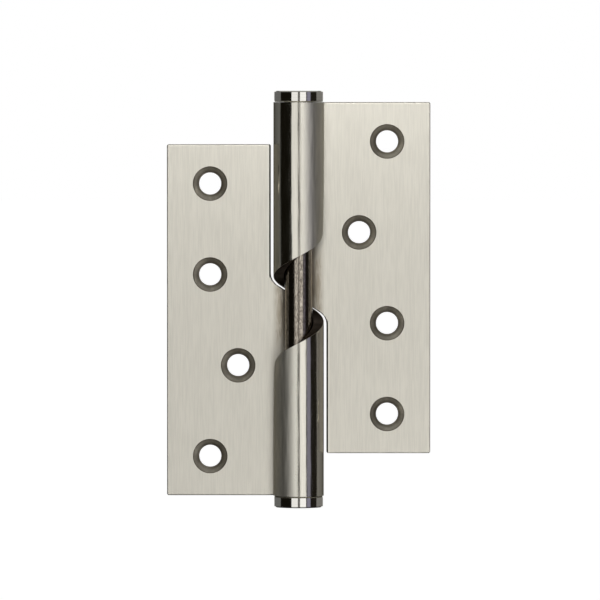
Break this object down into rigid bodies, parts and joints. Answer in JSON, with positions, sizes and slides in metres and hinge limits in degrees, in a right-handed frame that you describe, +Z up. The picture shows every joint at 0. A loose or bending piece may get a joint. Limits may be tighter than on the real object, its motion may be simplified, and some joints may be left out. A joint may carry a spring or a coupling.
{
  "type": "rising butt hinge",
  "caption": "Left-hand rising butt hinge: helical cam faces on two rolled knuckles lift the door leaf along the pin as it opens.",
  "frame": {"origin": "on the pin's axis, half way up the whole hinge as it lies open at 180 degrees", "axes": "+Z up along the pin, +Y out of the backs of the leaves toward what they are screwed to, +X toward the door leaf"},
  "size_m": [0.0762, 0.0146, 0.1204],
  "materials": {
    "satin_steel": "satin, brushed along the pin's direction",
    "pin_steel": "drawn bar, oily and darker than the leaves",
    "polished_steel": "mirror polished"
  },
  "bodies": {
    "frame_side": {"frame_leaf": "satin_steel", "hinge_pin": "pin_steel", "lower_end_cap": "polished_steel"},
    "rising_cap": {"upper_end_cap": "polished_steel"},
    "door_side": {"door_leaf": "satin_steel"}
  },
  "joints": [
    {"name": "door_rise", "type": "slide", "parent": "frame_side", "child": "rising_cap", "axis": [0, 0, 1], "range_m": [-0.0119, 0]},
    {"name": "door_swing", "type": "hinge", "parent": "rising_cap", "child": "door_side", "pos_m": [0, 0, 0], "axis": [0, 0, 1], "range_deg": [-180, 0]}
  ],
  "couplings": [
    {"joint": "door_rise", "follows": "door_swing", "m_per_rad": 0.0037878}
  ]
}
